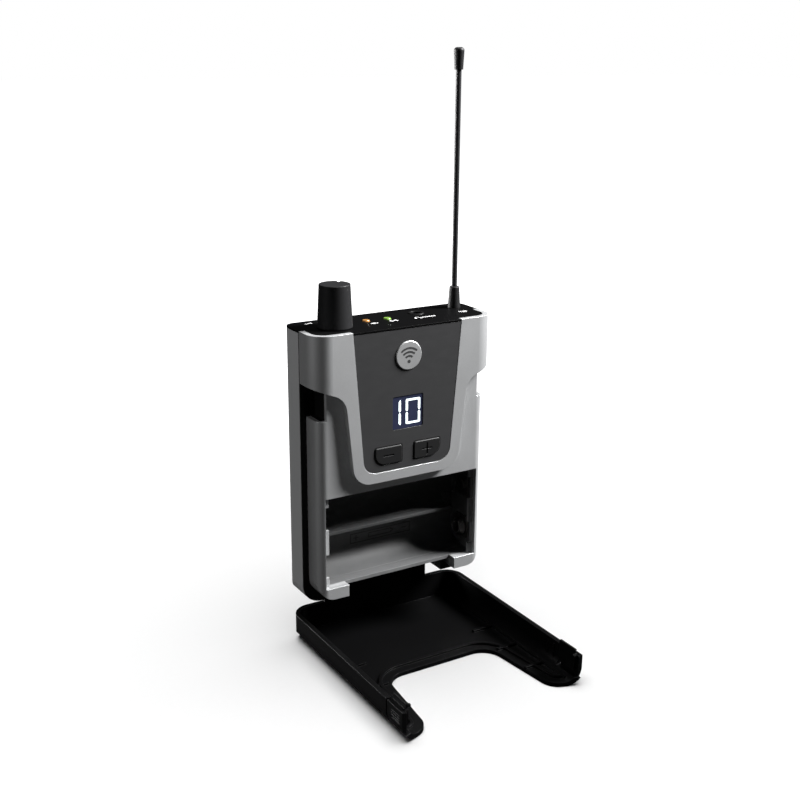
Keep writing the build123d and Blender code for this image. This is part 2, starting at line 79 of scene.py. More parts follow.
class Signal:
    """One output of a shader node, ready for arithmetic: each operation adds a Math node."""

    def __init__(self, finish, socket):
        self.finish = finish
        self.socket = socket

    def _math(self, operation, *values):
        inputs = dict(enumerate(values))
        return self.finish.node("ShaderNodeMath", {"operation": operation}, inputs)

    def __add__(self, other):
        return self._math("ADD", self, other)

    def __radd__(self, other):
        return self._math("ADD", other, self)

    def __sub__(self, other):
        return self._math("SUBTRACT", self, other)

    def __rsub__(self, other):
        return self._math("SUBTRACT", other, self)

    def __mul__(self, other):
        return self._math("MULTIPLY", self, other)

    def __rmul__(self, other):
        return self._math("MULTIPLY", other, self)

    def limited(self):
        """The same value kept between 0 and 1."""
        return self.finish.node("ShaderNodeClamp", {}, {"Value": self})


class Finish:
    """A procedural material built around one Principled shader."""

    def __init__(self, name, **sockets):
        self.material = bpy.data.materials.new(name)
        self.material.use_nodes = True
        self.tree = self.material.node_tree
        self.tree.nodes.clear()
        end = self.tree.nodes.new("ShaderNodeOutputMaterial")
        self.shader = self.tree.nodes.new("ShaderNodeBsdfPrincipled")
        self.tree.links.new(self.shader.outputs[0], end.inputs["Surface"])
        self.place = self.node("ShaderNodeTexCoord", {}, {}, "Object")
        self.set(**sockets)

    def node(self, kind, settings, inputs, output=0):
        """Adds a node, applies its settings, then fills its inputs with numbers or links."""
        made = self.tree.nodes.new(kind)
        for name, value in settings.items():
            setattr(made, name, value)
        for name, value in inputs.items():
            self._feed(made.inputs[name], value)
        return Signal(self, made.outputs[output])

    def _feed(self, socket, value):
        if isinstance(value, Signal):
            self.tree.links.new(value.socket, socket)
        else:
            socket.default_value = value

    def set(self, **sockets):
        """Fills sockets of the Principled shader; words in a name are joined by underscores."""
        for name, value in sockets.items():
            if isinstance(value, tuple) and len(value) == 3 and "color" in name:
                value = (*value, 1.0)
            self._feed(self.shader.inputs[name.replace("_", " ").title().replace("Ior", "IOR")], value)

    def noise(self, size, detail=3.0, stretch=(1.0, 1.0, 1.0)):
        """Smooth noise whose features are about size metres across, from 0 to 1."""
        scaled = self.node("ShaderNodeMapping", {}, {"Vector": self.place, "Scale": stretch})
        inputs = {"Vector": scaled, "Scale": 1.0 / size, "Detail": detail, "Roughness": NOISE_ROUGHNESS}
        return self.node("ShaderNodeTexNoise", {}, inputs)

    def cells(self, size):
        """Distance to the middle of the nearest cell, cells being size metres across."""
        return self.node("ShaderNodeTexVoronoi", {}, {"Vector": self.place, "Scale": 1.0 / size})

    def mixed(self, share, first, second):
        """Two colours mixed by a share from 0 to 1."""
        inputs = {"Factor": share,
                  MIX_FIRST: (*first, 1.0) if isinstance(first, tuple) else first,
                  MIX_SECOND: (*second, 1.0) if isinstance(second, tuple) else second}
        return self.node("ShaderNodeMix", {"data_type": "RGBA"}, inputs, MIX_RESULT)

    def soft_edges(self, radius):
        """Normal that rounds the sharp edges of a part, and a mask that is 1 along them."""
        rounded = self.node("ShaderNodeBevel", {"samples": 4}, {"Radius": radius})
        true = self.node("ShaderNodeNewGeometry", {}, {}, "Normal")
        flat = self.node("ShaderNodeVectorMath", {"operation": "DOT_PRODUCT"}, {0: rounded, 1: true}, "Value")
        return rounded, ((1.0 - flat) * EDGE_SHARPNESS).limited()

    def bump(self, height, depth, normal=None):
        """Bump of the given depth in metres, on top of a rounded normal if there is one."""
        inputs = {"Height": height, "Distance": depth, "Strength": 1.0}
        if normal is not None:
            inputs["Normal"] = normal
        self.set(normal=self.node("ShaderNodeBump", {}, inputs))


def shade(colour, factor):
    """A colour made lighter or darker."""
    return tuple(min(1.0, c * factor) for c in colour)


def moulded(name, colour, roughness, grain, depth, edge=1.5, gloss=0.16, edge_radius=0.3):
    """Moulded plastic: fine spark-eroded grain, handling marks in the gloss, edges polished by wear."""
    finish = Finish(name, specular_ior_level=gloss)
    rounded, edges = finish.soft_edges(edge_radius * MM)
    grain_noise = finish.noise(grain, 2.0)
    cloud = finish.noise(9 * MM, 4.0)
    smear = finish.noise(2.5 * MM, 5.0, (1.0, 1.0, 0.35))
    worn = (edges * (cloud * 1.6)).limited()
    body = finish.mixed((grain_noise * 0.7 + cloud * 0.3).limited(), shade(colour, 0.88), shade(colour, 1.12))
    finish.set(base_color=finish.mixed(worn, body, shade(colour, edge)))
    finish.set(roughness=(roughness - 0.07 + grain_noise * 0.08 + smear * 0.07 - worn * 0.1).limited())
    finish.bump(grain_noise + finish.cells(grain * 2.2) * 0.5, depth, rounded)
    return finish.material


def painted(name, colour):
    """Satin metallic paint: tiny flakes under a thin coat, faint orange peel."""
    finish = Finish(name, coat_roughness=0.35, specular_ior_level=0.5)
    rounded, edges = finish.soft_edges(0.15 * MM)
    flakes = finish.cells(0.07 * MM)
    cloud = finish.noise(12 * MM, 4.0)
    peel = finish.noise(0.9 * MM, 2.0)
    tone = (flakes * 0.75 + cloud * 0.25).limited()
    body = finish.mixed(tone, shade(colour, 1.1), shade(colour, 0.88))
    worn = (edges * (cloud * 1.2)).limited()
    finish.set(base_color=finish.mixed(worn, body, shade(colour, 1.12)))
    finish.set(metallic=(flakes * 0.3 + 0.65).limited())
    finish.set(roughness=(0.36 + cloud * 0.1 + flakes * 0.08).limited())
    finish.set(coat_weight=(0.15 + peel * 0.1).limited())
    finish.bump(peel * 0.6 + finish.noise(0.12 * MM, 2.0) * 0.4, 0.006 * MM, rounded)
    return finish.material


def bay_plastic_painted_shade(name, colour):
    """Bay moulding in the shell's colour, made darker as painted shade of the bay and darker still deeper in.
    """
    finish = Finish(name, specular_ior_level=0.3)
    rounded, edges = finish.soft_edges(0.15 * MM)
    depth = finish.node("ShaderNodeSeparateXYZ", {}, {"Vector": finish.place}, "Y")
    cloud = finish.noise(4 * MM, 4.0)
    grain = finish.noise(0.12 * MM, 2.0)
    # painted shade: past this depth into the bay the colour drops from about a third of the shell's to about
    # a tenth
    shade_from_depth, ragged, fade_rate = 5.4 * MM, 0.6 * MM, 1400.0
    deep_shade = ((depth + cloud * ragged - shade_from_depth) * fade_rate).limited()
    dark = finish.mixed(cloud, shade(colour, 0.1), shade(colour, 0.14))
    finish.set(base_color=finish.mixed(deep_shade, shade(colour, 0.36), dark))
    finish.set(roughness=(0.48 + grain * 0.1 - edges * 0.08).limited())
    finish.bump(grain, 0.008 * MM, rounded)
    return finish.material


def film(name, colour):
    """Printed polycarbonate film: even satin surface with a very fine dot texture and light rub marks."""
    finish = Finish(name, coat_weight=0.08, coat_roughness=0.3)
    rounded, edges = finish.soft_edges(0.12 * MM)
    dots = finish.cells(0.16 * MM)
    rubs = finish.noise(6 * MM, 6.0, (1.0, 1.0, 3.0))
    tone = (dots * 0.5 + rubs * 0.5).limited()
    finish.set(base_color=finish.mixed(tone, shade(colour, 0.9), shade(colour, 1.1)))
    finish.set(roughness=(0.36 + rubs * 0.12 + dots * 0.05 - edges * 0.08).limited())
    finish.bump(dots, 0.004 * MM, rounded)
    return finish.material


def rubber(name, colour, grain=0.18, rough=0.62):
    """Soft rubber: matt, finely pitted, dusty in the pits, darker and shinier where it is rubbed."""
    finish = Finish(name, specular_ior_level=0.2, sheen_weight=0.03, sheen_roughness=0.5)
    rounded, edges = finish.soft_edges(0.2 * MM)
    pits = finish.noise(grain * MM, 3.0)
    dust = finish.noise(3 * MM, 5.0)
    tone = (pits * 0.5 + dust * 0.5).limited()
    finish.set(base_color=finish.mixed(tone, shade(colour, 0.82), shade(colour, 1.25)))
    finish.set(roughness=(rough + pits * 0.12 - edges * 0.15 - dust * 0.06).limited())
    finish.bump(pits, 0.012 * MM, rounded)
    return finish.material


def metal(name, colour, roughness, stretch=(1.0, 1.0, 1.0), depth=0.004):
    """Bare or plated metal: fine drawn lines, dull spots and small scratches."""
    finish = Finish(name)
    rounded, edges = finish.soft_edges(0.1 * MM)
    lines = finish.noise(0.12 * MM, 3.0, stretch)
    spots = finish.noise(1.6 * MM, 5.0)
    finish.set(base_color=finish.mixed(spots, shade(colour, 0.85), shade(colour, 1.08)), metallic=1.0)
    finish.set(roughness=(roughness + lines * 0.14 + spots * 0.08 - edges * 0.1).limited())
    finish.bump(lines, depth * MM, rounded)
    return finish.material


def lens(name, colour, glow):
    """Tinted epoxy lens: slightly cloudy colour and glow under a glossy skin that is duller at the rim."""
    finish = Finish(name, coat_weight=1.0, coat_roughness=0.05, emission_strength=glow, ior=1.5)
    swirl = finish.noise(0.5 * MM, 2.0)
    facing = finish.node("ShaderNodeLayerWeight", {}, {"Blend": 0.35}, "Facing")
    finish.set(base_color=finish.mixed((swirl * 0.4).limited(), colour, shade(colour, 0.6)))
    finish.set(emission_color=finish.mixed(swirl, colour, shade(colour, 1.5)))
    finish.set(roughness=(0.12 + facing * 0.08 + swirl * 0.05).limited())
    finish.bump(swirl, 0.01 * MM)
    return finish.material


def glass(name, colour):
    """Dark tinted display window: polarising layers under a glossy hard coat with faint wipe marks."""
    finish = Finish(name, coat_weight=0.3, coat_roughness=0.12, ior=1.5)
    wipes = finish.noise(3 * MM, 6.0, (1.0, 1.0, 4.0))
    cloud = finish.noise(4 * MM, 2.0)
    finish.set(base_color=finish.mixed(cloud, shade(colour, 0.85), shade(colour, 1.2)))
    finish.set(emission_color=finish.mixed(cloud, shade(colour, 0.9), shade(colour, 1.15)))
    finish.set(emission_strength=0.25)
    finish.set(roughness=(0.16 + wipes * 0.16).limited())
    finish.bump(wipes, 0.002 * MM)
    return finish.material


def lit(name, colour, strength):
    """Lit display segment: even light with the slight mottling of a diffuser."""
    finish = Finish(name, emission_strength=strength)
    mottle = finish.noise(0.4 * MM, 2.0)
    finish.set(base_color=finish.mixed(mottle, shade(colour, 0.9), colour), roughness=0.4)
    finish.set(emission_color=finish.mixed(mottle, shade(colour, 0.92), colour))
    return finish.material


def ink(name, colour):
    """Screen-printed ink: slightly uneven cover, matt, a little raised."""
    finish = Finish(name)
    cover = finish.noise(0.12 * MM, 3.0)
    finish.set(base_color=finish.mixed(cover, shade(colour, 0.8), colour))
    finish.set(roughness=(0.5 + cover * 0.15).limited())
    finish.bump(cover, 0.004 * MM)
    return finish.material


def board(name, colour):
    """Circuit board: solder mask with copper tracks showing through as lighter lines."""
    finish = Finish(name, coat_weight=0.4, coat_roughness=0.2)
    inputs = {"Vector": finish.place, "Scale": 1.0 / (1.1 * MM), "Mortar Size": 0.14,
              "Brick Width": 3.0, "Row Height": 0.7}
    tracks = finish.node("ShaderNodeTexBrick", {"offset": 0.3}, inputs, "Fac")
    weave = finish.noise(0.3 * MM, 2.0)
    finish.set(base_color=finish.mixed(tracks, shade(colour, 1.9), colour))
    finish.set(roughness=(0.3 + weave * 0.15).limited())
    finish.bump(tracks + weave * 0.3, 0.02 * MM)
    return finish.material


# ---------------------------------------------------------------- mesh helpers

def shown(name, mesh, material, body, bevel=0.0, smooth=True):
    """Puts a finished mesh in the scene as a piece that rides on a body."""
    if smooth:
        mesh.shade_smooth()
    mesh.materials.append(material)
    piece = bpy.data.objects.new(name, mesh)
    bpy.context.scene.collection.objects.link(piece)
    if bevel:
        rounding = piece.modifiers.new("rounding", "BEVEL")
        rounding.width = bevel
        rounding.segments = 2
        rounding.limit_method = "ANGLE"
        rounding.harden_normals = True
    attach(piece, body)
    return piece


def slab_mesh(name, outlines, place, thickness):
    """Flat outlines of 2-D points, placed by a function and made solid along a third direction."""
    mesh = bpy.data.meshes.new(name)
    form = bmesh.new()
    for outline in outlines:
        low = [form.verts.new(place(u, v, 0.0)) for u, v in outline]
        high = [form.verts.new(place(u, v, thickness)) for u, v in outline]
        form.faces.new(low)
        form.faces.new(list(reversed(high)))
        count = len(outline)
        for i in range(count):
            j = (i + 1) % count
            form.faces.new((low[j], low[i], high[i], high[j]))
    bmesh.ops.recalc_face_normals(form, faces=form.faces)
    form.to_mesh(mesh)
    form.free()
    return mesh


def stroke(points, width, closed=False):
    """Outlines of a line of constant width through 2-D points, one for each run, with joints covered."""
    runs = list(zip(points, points[1:]))
    if closed:
        runs.append((points[-1], points[0]))
    shapes = []
    for (x0, y0), (x1, y1) in runs:
        along = Vector((x1 - x0, y1 - y0)).normalized() * (width / 2)
        side = Vector((-along.y, along.x))
        start = Vector((x0, y0)) - along
        end = Vector((x1, y1)) + along
        shapes.append([tuple(start + side), tuple(start - side), tuple(end - side), tuple(end + side)])
    return shapes


def arc(middle, radius, start, end, steps=14):
    """Points along a circular arc; angles in degrees, anticlockwise from the right."""
    angles = [math.radians(start + (end - start) * i / steps) for i in range(steps + 1)]
    return [(middle[0] + radius * math.cos(a), middle[1] + radius * math.sin(a)) for a in angles]


def ribbon(points, width):
    """One closed outline that follows an open line with constant width."""
    left, right = [], []
    for i, (x, y) in enumerate(points):
        before, after = points[max(i - 1, 0)], points[min(i + 1, len(points) - 1)]
        along = Vector((after[0] - before[0], after[1] - before[1])).normalized()
        side = Vector((-along.y, along.x)) * (width / 2)
        left.append((x + side.x, y + side.y))
        right.append((x - side.x, y - side.y))
    return left + right[::-1]


def tube_mesh(name, points, radius, sides=10):
    """A round wire through points in space."""
    mesh = bpy.data.meshes.new(name)
    form = bmesh.new()
    rings = []
    normal = Vector((0, 0, 1))
    for i, point in enumerate(points):
        ahead, behind = points[min(i + 1, len(points) - 1)], points[max(i - 1, 0)]
        along = (ahead - behind).normalized()
        normal = (normal - along * normal.dot(along)).normalized()
        across = along.cross(normal)
        ring = []
        for k in range(sides):
            turn = 2 * math.pi * k / sides
            ring.append(form.verts.new(point + (normal * math.cos(turn) + across * math.sin(turn)) * radius))
        rings.append(ring)
    for ring, following in zip(rings, rings[1:]):
        for k in range(sides):
            j = (k + 1) % sides
            form.faces.new((ring[k], ring[j], following[j], following[k]))
    form.faces.new(rings[0][::-1])
    form.faces.new(rings[-1])
    bmesh.ops.recalc_face_normals(form, faces=form.faces)
    form.to_mesh(mesh)
    form.free()
    return mesh


def on_front(depth):
    """Places 2-D points (x, z) in millimetres on an upright plane at a depth; thickness goes to the front."""
    return lambda x, z, t: Vector((x * MM, depth - t * MM, z * MM))


def on_top(height):
    """Places 2-D points (x, y) in millimetres on a level plane; thickness goes up."""
    return lambda x, y, t: Vector((x * MM, y * MM, height + t * MM))


def finish_nodes(material, *names):
    """Gives CAD nodes their finish."""
    for name in names:
        mesh = NODES[name].data
        mesh.materials.clear()
        mesh.materials.append(material)


# ---------------------------------------------------------------- user's settings

class BodypackColours(bpy.types.PropertyGroup):
    """Colours of the mouldings and the lamps."""

    silver: bpy.props.FloatVectorProperty(
        name="Silver paint", description="Colour of the front shell and the battery bay",
        default=(0.64, 0.648, 0.656), subtype="COLOR", min=0, max=1)
    grey: bpy.props.FloatVectorProperty(
        name="Grey plastic", description="Colour of the rear shell",
        default=(0.24, 0.242, 0.245), subtype="COLOR", min=0, max=1)
    black: bpy.props.FloatVectorProperty(
        name="Black plastic", description="Colour of the top plate, knob, latches and door",
        default=(0.003, 0.003, 0.0032), subtype="COLOR", min=0, max=1)
    panel: bpy.props.FloatVectorProperty(
        name="Panel film", description="Colour of the dark panel on the front",
        default=(0.026, 0.026, 0.027), subtype="COLOR", min=0, max=1)
    window: bpy.props.FloatVectorProperty(
        name="Display window", description="Colour of the display behind its digits",
        default=(0.017, 0.02, 0.043), subtype="COLOR", min=0, max=1)
    digits: bpy.props.FloatVectorProperty(
        name="Digits", description="Colour of the lit digits",
        default=(0.85, 0.97, 1.0), subtype="COLOR", min=0, max=1)
    amber: bpy.props.FloatVectorProperty(
        name="Amber lamp", description="Colour of the left lamp",
        default=(0.42, 0.2, 0.06), subtype="COLOR", min=0, max=1)
    green: bpy.props.FloatVectorProperty(
        name="Green lamp", description="Colour of the right lamp",
        default=(0.2, 0.36, 0.07), subtype="COLOR", min=0, max=1)


class BodypackSizes(bpy.types.PropertyGroup):
    """Sizes of the marks and the place of the camera."""

    number: bpy.props.StringProperty(
        name="Number", description="Number shown on the display", default="10")
    digit_height: bpy.props.FloatProperty(
        name="Digit height", description="Height of the digits", default=8.2 * MM, unit="LENGTH", precision=4)
    segment: bpy.props.FloatProperty(
        name="Segment width", description="Width of one segment of a digit",
        default=0.78 * MM, unit="LENGTH", precision=4)
    mark_line: bpy.props.FloatProperty(
        name="Mark line", description="Width of the printed lines on the top plate",
        default=0.28 * MM, unit="LENGTH", precision=5)
    camera_place: bpy.props.FloatVectorProperty(
        name="Camera place", description="Where the camera stands",
        default=(-0.1808, -0.2949, 0.1898), subtype="XYZ", unit="LENGTH")
    camera_turn: bpy.props.FloatVectorProperty(
        name="Camera turn", description="Camera angles: down from upright, roll, and heading",
        default=(math.radians(72.93), math.radians(0.0), math.radians(-31.08)),
        subtype="EULER", unit="ROTATION")
    camera_roll: bpy.props.FloatProperty(
        name="Camera roll", description="Turn about the line of sight",
        default=math.radians(0.4), unit="ROTATION")
    camera_lens: bpy.props.FloatProperty(
        name="Focal length", description="Focal length on a 36 mm sensor", default=52.04, unit="CAMERA")
    key_power: bpy.props.FloatProperty(
        name="Key light", description="Power of the main soft light", default=50.0, unit="POWER")
    ceiling_power: bpy.props.FloatProperty(
        name="Ceiling light", description="Power of the soft light on the floor", default=16.7, unit="POWER")
    surround: bpy.props.FloatProperty(
        name="Surround", description="Strength of the light from all around", default=0.015, min=0)


# ---------------------------------------------------------------- operators

class BODYPACK_OT_stage(bpy.types.Operator):
    """Pale floor, soft studio light and the camera"""

    bl_idname = "bodypack.stage"
    bl_label = "Floor, light and camera"

    RIM_LIT = ("battery_door", "latch_left", "latch_right", "antenna_boot", "antenna_rod", "antenna_tip")

    def execute(self, context):
        sizes = context.scene.bodypack_sizes
        floor = self.floor(context)
        self.lights(context, sizes, floor)
        self.camera(context, sizes)
        context.scene.view_settings.view_transform = "Standard"
        return {"FINISHED"}

    def floor(self, context):
        """A wide level floor under the door, bright to look at, that gives little light back."""
        low, reach = START_BOX[0].z, 6.0
        corners = ((-reach, -reach), (reach, -reach), (reach, reach), (-reach, reach))
        mesh = bpy.data.meshes.new("studio_floor")
        form = bmesh.new()
        form.faces.new([form.verts.new((x, y, low)) for x, y in corners])
        form.to_mesh(mesh)
        form.free()
        finish = Finish("studio_paper", roughness=0.9, specular_ior_level=0.0)
        fibre = finish.noise(1.5 * MM, 3.0)
        looked_at = finish.node("ShaderNodeLightPath", {}, {}, "Is Camera Ray")
        paper = finish.mixed(fibre, (0.93, 0.93, 0.93), (0.95, 0.95, 0.95))
        finish.set(base_color=finish.mixed(looked_at, (0.05, 0.05, 0.05), paper))
        distance = finish.node("ShaderNodeVectorMath", {"operation": "LENGTH"}, {0: finish.place}, "Value")
        whiter_from, whiter_rate = 0.1, 4.5
        far = ((distance - whiter_from) * whiter_rate).limited() * looked_at
        finish.set(emission_color=finish.mixed(far, (0.0, 0.0, 0.0), (1.0, 1.0, 1.0)), emission_strength=1.0)
        mesh.materials.append(finish.material)
        floor = bpy.data.objects.new("studio_floor", mesh)
        context.scene.collection.objects.link(floor)
        return floor

    def lights(self, context, sizes, floor):
        """Soft lights on the object, two that reach only some pieces, and a ceiling for the floor alone."""
        world = bpy.data.worlds.new("studio_surround")
        world.use_nodes = True
        tree = world.node_tree
        surround = tree.nodes["Background"]
        surround.inputs["Color"].default_value = (1.0, 1.0, 1.0, 1.0)
        seen = tree.nodes.new("ShaderNodeLightPath")
        strength = tree.nodes.new("ShaderNodeMapRange")
        strength.inputs["To Min"].default_value = sizes.surround
        strength.inputs["To Max"].default_value = 1.0
        tree.links.new(seen.outputs["Is Camera Ray"], strength.inputs["Value"])
        tree.links.new(strength.outputs["Result"], surround.inputs["Strength"])
        context.scene.world = world
        dark_parts = [NODES[name] for name in self.RIM_LIT]
        rows = [
            ("key_light", (69.0, 40.0), 0.4, sizes.key_power, "EXCLUDE", [floor]),
            ("side_light", (-92.0, 22.0), 0.4, sizes.key_power * 0.04, "EXCLUDE", [floor]),
            ("top_light", (160.0, 78.0), 0.35, sizes.key_power * 0.09, "EXCLUDE", [floor]),
            ("rim_light", (-147.0, 8.0), 0.4, sizes.key_power * 0.42, "INCLUDE", dark_parts),
            ("edge_light", (-108.0, 14.0), 0.4, sizes.key_power * 0.045, "INCLUDE", [NODES["rear_shell"]]),
            ("ceiling_light", (0.0, 90.0), 1.3, sizes.ceiling_power, "INCLUDE", [floor]),
        ]
        aim = Vector((0.0, 0.0, 0.07))
        for name, (heading, height), size, power, link_state, linked in rows:
            across, up = math.radians(heading), math.radians(height)
            away = Vector((math.sin(across) * math.cos(up), -math.cos(across) * math.cos(up), math.sin(up)))
            light = bpy.data.lights.new(name, "AREA")
            light.shape = "DISK"
            light.size = size
            light.energy = power
            lamp = bpy.data.objects.new(name, light)
            context.scene.collection.objects.link(lamp)
            lamp.location = aim + away
            lamp.rotation_mode = "QUATERNION"
            lamp.rotation_quaternion = (-away).to_track_quat("-Z", "Y")
            receivers = bpy.data.collections.new(name + "_receivers")
            for piece in linked:
                receivers.objects.link(piece)
            for member in receivers.collection_objects:
                member.light_linking.link_state = link_state
            lamp.light_linking.receiver_collection = receivers

    def camera(self, context, sizes):
        """The camera, at its place, heading and roll."""
        lens_data = bpy.data.cameras.new("camera")
        lens_data.lens = sizes.camera_lens
        lens_data.sensor_width = 36.0
        lens_data.clip_start = 0.01
        camera = bpy.data.objects.new("camera", lens_data)
        context.scene.collection.objects.link(camera)
        down, _, heading = sizes.camera_turn
        turn = Matrix.Rotation(heading, 4, "Z") @ Matrix.Rotation(down, 4, "X")
        turn = turn @ Matrix.Rotation(sizes.camera_roll, 4, "Z")
        camera.matrix_world = Matrix.Translation(Vector(sizes.camera_place)) @ turn
        context.scene.camera = camera


class BODYPACK_OT_mouldings(bpy.types.Operator):
    """Finishes of the shells, the door, the latches, the knob and the top plate"""

    bl_idname = "bodypack.mouldings"
    bl_label = "Shells, door and knob"

    def execute(self, context):
        colours = context.scene.bodypack_colours
        black = tuple(colours.black)
        finish_nodes(painted("silver_paint", tuple(colours.silver)), "front_shell")
        # the cradle's colour carries painted shade of the battery bay
        finish_nodes(bay_plastic_painted_shade("cradle_plastic_painted_shade", tuple(colours.silver)), "battery_cradle")
        finish_nodes(moulded("grey_plastic", tuple(colours.grey), 0.5, 0.12 * MM, 0.012 * MM, 1.2, 0.4),
                     "rear_shell")
        finish_nodes(moulded("door_plastic", shade(black, 0.5), 0.42, 0.14 * MM, 0.01 * MM, 2.2, 0.05),
                     "battery_door", "latch_left", "latch_right")
        finish_nodes(moulded("top_plate_plastic", shade(black, 0.8), 0.42, 0.1 * MM, 0.008 * MM, 2.0, 0.03),
                     "top_plate")
        finish_nodes(moulded("knob_plastic", shade(black, 4.0), 0.45, 0.12 * MM, 0.01 * MM, 2.2),
                     "volume_knob")
        finish_nodes(moulded("socket_plastic", black, 0.45, 0.1 * MM, 0.008 * MM),
                     "phones_jack", "jack_ring", "minus_switch", "plus_switch", "latch_keepers")
        return {"FINISHED"}


class BODYPACK_OT_rubber(bpy.types.Operator):
    """Finishes of the buttons, the gasket and the antenna"""

    bl_idname = "bodypack.rubber"
    bl_label = "Buttons, gasket and antenna"

    def execute(self, context):
        black = tuple(context.scene.bodypack_colours.black)
        finish_nodes(rubber("button_rubber", shade(black, 1.6), 0.14, 0.5), "minus_button", "plus_button")
        finish_nodes(rubber("gasket_rubber", shade(black, 0.8)), "seam_gasket")
        finish_nodes(rubber("boot_rubber", shade(black, 2.5), 0.2, 0.45), "antenna_boot", "antenna_tip")
        finish_nodes(rubber("rod_rubber", shade(black, 7.0), 0.2, 0.4), "antenna_rod")
        return {"FINISHED"}


class BODYPACK_OT_metals(bpy.types.Operator):
    """Finishes of screws, shield can, potentiometer, hinge pin, contact plates and brass socket"""

    bl_idname = "bodypack.metals"
    bl_label = "Metal parts"

    def execute(self, context):
        steel = metal("bright_steel", (0.55, 0.55, 0.57), 0.22, (1.0, 1.0, 0.1))
        finish_nodes(steel, "housing_screws", "shield_can", "volume_pot", "pot_shaft", "hinge_pin")
        # the nickel of the contact plates is made dark: painted shade of the ends of the battery bay
        finish_nodes(metal("nickel_plate_painted_shade", (0.2, 0.195, 0.185), 0.3), "contact_plates")
        finish_nodes(metal("turned_brass", (0.62, 0.42, 0.16), 0.25, (0.2, 0.2, 1.0)), "antenna_socket")
        return {"FINISHED"}


class BODYPACK_OT_springs(bpy.types.Operator):
    """Tapered coil springs that press on the cells"""

    bl_idname = "bodypack.springs"
    bl_label = "Battery springs"

    # millimetres, except the turns of a spring and the steps it is drawn in
    REACH, FOOT, PLATE, WIRE = 4.2, 4.0, 0.28, 0.32
    BASE_RADIUS, NARROWING, START, LENGTH = 2.95, 1.05, 0.45, 2.1
    TURNS, STEPS = 4.2, 150

    def execute(self, context):
        low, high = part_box("contact_springs")
        # the springs' nickel is made dark: painted shade of the ends of the battery bay
        nickel = metal("spring_nickel_painted_shade", (0.2, 0.195, 0.185), 0.3)
        middle_y = (low.y + high.y) / 2
        upper, lower = high.z - self.REACH * MM, low.z + self.REACH * MM
        for name, x, z, inward in (("spring_upper", low.x, upper, 1), ("spring_lower", high.x, lower, -1)):
            points = self.coil(x, middle_y, z, inward)
            coil = shown(name, tube_mesh(name, points, self.WIRE * MM), nickel, HOUSING)
            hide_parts("contact_springs")
            foot, cut = self.FOOT, self.FOOT - 1
            corners = [(-foot, -cut), (-cut, -foot), (cut, -foot), (foot, -cut),
                       (foot, cut), (cut, foot), (-cut, foot), (-foot, cut)]

            def place(u, v, t, x=x, z=z, inward=inward):
                return Vector((x + t * MM * inward, middle_y + u * MM, z + v * MM))

            base = slab_mesh(name + "_base", [corners], place, self.PLATE)
            shown(name + "_base", base, nickel, HOUSING, 0.05 * MM, False)
        return {"FINISHED"}

    def coil(self, x, middle_y, z, inward):
        """Points along a coil that narrows from the end wall towards the cell."""
        points = []
        for i in range(self.STEPS + 1):
            t = i / self.STEPS
            angle = 2 * math.pi * self.TURNS * t
            radius = (self.BASE_RADIUS - self.NARROWING * t) * MM
            ahead = (self.START + self.LENGTH * t) * MM * inward
            across, up = radius * math.cos(angle), radius * math.sin(angle)
            points.append(Vector((x + ahead, middle_y + across, z + up)))
        return points


class BODYPACK_OT_display(bpy.types.Operator):
    """Panel film, display window and its lit digits"""

    bl_idname = "bodypack.display"
    bl_label = "Panel and display"

    LIT = {"0": "abcdef", "1": "bc", "2": "abged", "3": "abgcd", "4": "fgbc", "5": "afgcd",
           "6": "afgedc", "7": "abc", "8": "abcdefg", "9": "abcdfg"}
    DIGIT_WIDTH, PITCH, LAST_DIGIT_X, SEGMENT_GAP = 5.3, 7.1, 1.9, 0.09

    def execute(self, context):
        colours, sizes = context.scene.bodypack_colours, context.scene.bodypack_sizes
        finish_nodes(film("panel_film", tuple(colours.panel)), "display_panel")
        finish_nodes(glass("display_window", tuple(colours.window)), "display_window")
        finish_nodes(board("display_module", (0.01, 0.06, 0.03)), "lcd_module")
        low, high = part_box("display_window")
        height = sizes.digit_height / MM
        middle_z = (low.z + high.z) / 2 / MM
        bright = lit("lit_segments", tuple(colours.digits), 0.95)
        start = self.LAST_DIGIT_X - self.PITCH * (len(sizes.number) - 1)
        for place, digit in enumerate(sizes.number):
            x = start + place * self.PITCH
            name = f"digit_{place}"
            shapes = self.segments(x, middle_z, self.DIGIT_WIDTH, height, sizes.segment / MM)
            on = [shapes[letter] for letter in self.LIT[digit]]
            mesh = slab_mesh(name, on, on_front(low.y + 0.005 * MM), 0.06)
            shown(name, mesh, bright, HOUSING, 0.0, False)
        return {"FINISHED"}

    def segments(self, x, z, width, height, stroke_width):
        """Outlines of the seven segments of one digit, letters as on any seven-segment display."""
        half, tall = width / 2, height / 2
        gap, w = self.SEGMENT_GAP, stroke_width
        shapes = {}
        for letter, side, up in (("f", -1, 1), ("e", -1, -1), ("b", 1, 1), ("c", 1, -1)):
            outer = x + side * half
            inner = outer - side * w
            centre = outer - side * w / 2
            tip, end = z + up * gap, z + up * tall
            shapes[letter] = [(centre, tip), (outer, tip + up * w * 0.5), (outer, end - up * w * 0.35),
                              (outer - side * w * 0.3, end), (inner, end - up * w * 0.8),
                               (inner, tip + up * w * 0.5)]
        for letter, up in (("a", 1), ("d", -1)):
            end = z + up * tall
            reach = half - w * 0.45
            shapes[letter] = [(x - reach, end), (x + reach, end), (x + half - w - gap, end - up * w * 0.85),
                              (x - half + w + gap, end - up * w * 0.85)]
        reach = half - w - gap
        shapes["g"] = [(x - reach, z + w * 0.4), (x - reach, z - w * 0.4), (x + reach, z - w * 0.4),
                       (x + reach, z + w * 0.4)]
        return shapes


